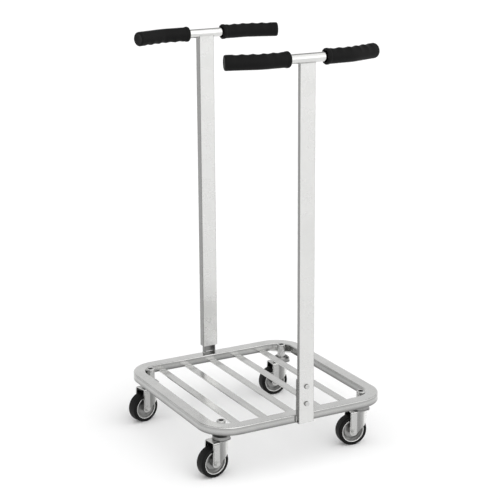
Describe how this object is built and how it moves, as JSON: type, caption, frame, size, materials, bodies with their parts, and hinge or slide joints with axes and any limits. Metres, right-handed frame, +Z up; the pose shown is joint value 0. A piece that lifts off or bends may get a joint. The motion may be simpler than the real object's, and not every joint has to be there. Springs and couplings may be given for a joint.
{
  "type": "platform luggage trolley",
  "caption": "Square tubular platform trolley on swivel casters, with a slatted deck and a gripped T-handle on an upright at each end.",
  "frame": {"origin": "middle of the outline on the floor, under the deck", "axes": "+Z up, -Y towards the flat front upright, +Y towards the rear upright, X along the handlebars"},
  "size_m": [0.4898, 0.532, 0.9777],
  "materials": {
    "plated_tube": "bright zinc or nickel plate, satin to semi-bright, faintly uneven",
    "plated_bar": "plated flat bar and turned bosses, satin",
    "zinc_steel": "pressed steel, bright zinc plate",
    "fastener_steel": "zinc-plated fasteners",
    "grip_rubber": "moulded black rubber, matte",
    "tyre_rubber": "black rubber, slightly dusty"
  },
  "bodies": {
    "frame": {"base_rail": "plated_tube", "caster_stems": "fastener_steel", "corner_gusset_front_left": "plated_bar", "corner_gusset_front_right": "plated_bar", "corner_gusset_rear_left": "plated_bar", "corner_gusset_rear_right": "plated_bar", "deck_slat_1": "plated_bar", "deck_slat_2": "plated_bar", "deck_slat_3": "plated_bar", "deck_slat_4": "plated_bar", "deck_slat_5": "plated_bar", "front_foot_bracket": "plated_tube", "front_grip_left": "grip_rubber", "front_grip_right": "grip_rubber", "front_handlebar": "plated_tube", "front_upright": "plated_tube", "front_upright_bolts": "fastener_steel", "front_upright_nuts": "fastener_steel", "front_upright_washers": "fastener_steel", "race_cup_front_left": "zinc_steel", "race_cup_front_right": "zinc_steel", "race_cup_rear_left": "zinc_steel", "race_cup_rear_right": "zinc_steel", "rear_grip_left": "grip_rubber", "rear_grip_right": "grip_rubber", "rear_handlebar": "plated_tube", "rear_socket_stub": "plated_tube", "rear_upright": "plated_tube", "rear_upright_bolts": "fastener_steel", "rear_upright_nuts": "fastener_steel", "rear_upright_washers": "fastener_steel", "stem_sleeves": "plated_bar"},
    "caster_front_left": {"fork_front_left": "zinc_steel", "race_balls_front_left": "fastener_steel", "axle_bush_front_left": "fastener_steel", "axle_hardware_front_left": "fastener_steel"},
    "wheel_front_left": {"wheel_rim_front_left": "zinc_steel", "tyre_front_left": "tyre_rubber"},
    "caster_front_right": {"fork_front_right": "zinc_steel", "race_balls_front_right": "fastener_steel", "axle_bush_front_right": "fastener_steel", "axle_hardware_front_right": "fastener_steel"},
    "wheel_front_right": {"wheel_rim_front_right": "zinc_steel", "tyre_front_right": "tyre_rubber"},
    "caster_rear_left": {"fork_rear_left": "zinc_steel", "race_balls_rear_left": "fastener_steel", "axle_bush_rear_left": "fastener_steel", "axle_hardware_rear_left": "fastener_steel"},
    "wheel_rear_left": {"wheel_rim_rear_left": "zinc_steel", "tyre_rear_left": "tyre_rubber"},
    "caster_rear_right": {"fork_rear_right": "zinc_steel", "race_balls_rear_right": "fastener_steel", "axle_bush_rear_right": "fastener_steel", "axle_hardware_rear_right": "fastener_steel"},
    "wheel_rear_right": {"wheel_rim_rear_right": "zinc_steel", "tyre_rear_right": "tyre_rubber"}
  },
  "joints": [
    {"name": "swivel_front_left", "type": "hinge", "parent": "frame", "child": "caster_front_left", "pos_m": [-0.1825, -0.1883, 0.0838], "axis": [0, 0, 1], "continuous": true},
    {"name": "spin_front_left", "type": "hinge", "parent": "caster_front_left", "child": "wheel_front_left", "pos_m": [-0.20731, -0.19135, 0.037], "axis": [0.1219, -0.9925, 0], "continuous": true},
    {"name": "swivel_front_right", "type": "hinge", "parent": "frame", "child": "caster_front_right", "pos_m": [0.1963, -0.1883, 0.0838], "axis": [0, 0, 1], "continuous": true},
    {"name": "spin_front_right", "type": "hinge", "parent": "caster_front_right", "child": "wheel_front_right", "pos_m": [0.17151, -0.18504, 0.037], "axis": [-0.1305, -0.9914, 0], "continuous": true},
    {"name": "swivel_rear_left", "type": "hinge", "parent": "frame", "child": "caster_rear_left", "pos_m": [-0.1825, 0.1997, 0.0838], "axis": [0, 0, 1], "continuous": true},
    {"name": "spin_rear_left", "type": "hinge", "parent": "caster_rear_left", "child": "wheel_rear_left", "pos_m": [-0.20695, 0.1945, 0.037], "axis": [0.2079, -0.9781, 0], "continuous": true},
    {"name": "swivel_rear_right", "type": "hinge", "parent": "frame", "child": "caster_rear_right", "pos_m": [0.1963, 0.1997, 0.0838], "axis": [0, 0, 1], "continuous": true},
    {"name": "spin_rear_right", "type": "hinge", "parent": "caster_rear_right", "child": "wheel_rear_right", "pos_m": [0.17132, 0.20079, 0.037], "axis": [-0.0436, -0.999, 0], "continuous": true}
  ]
}
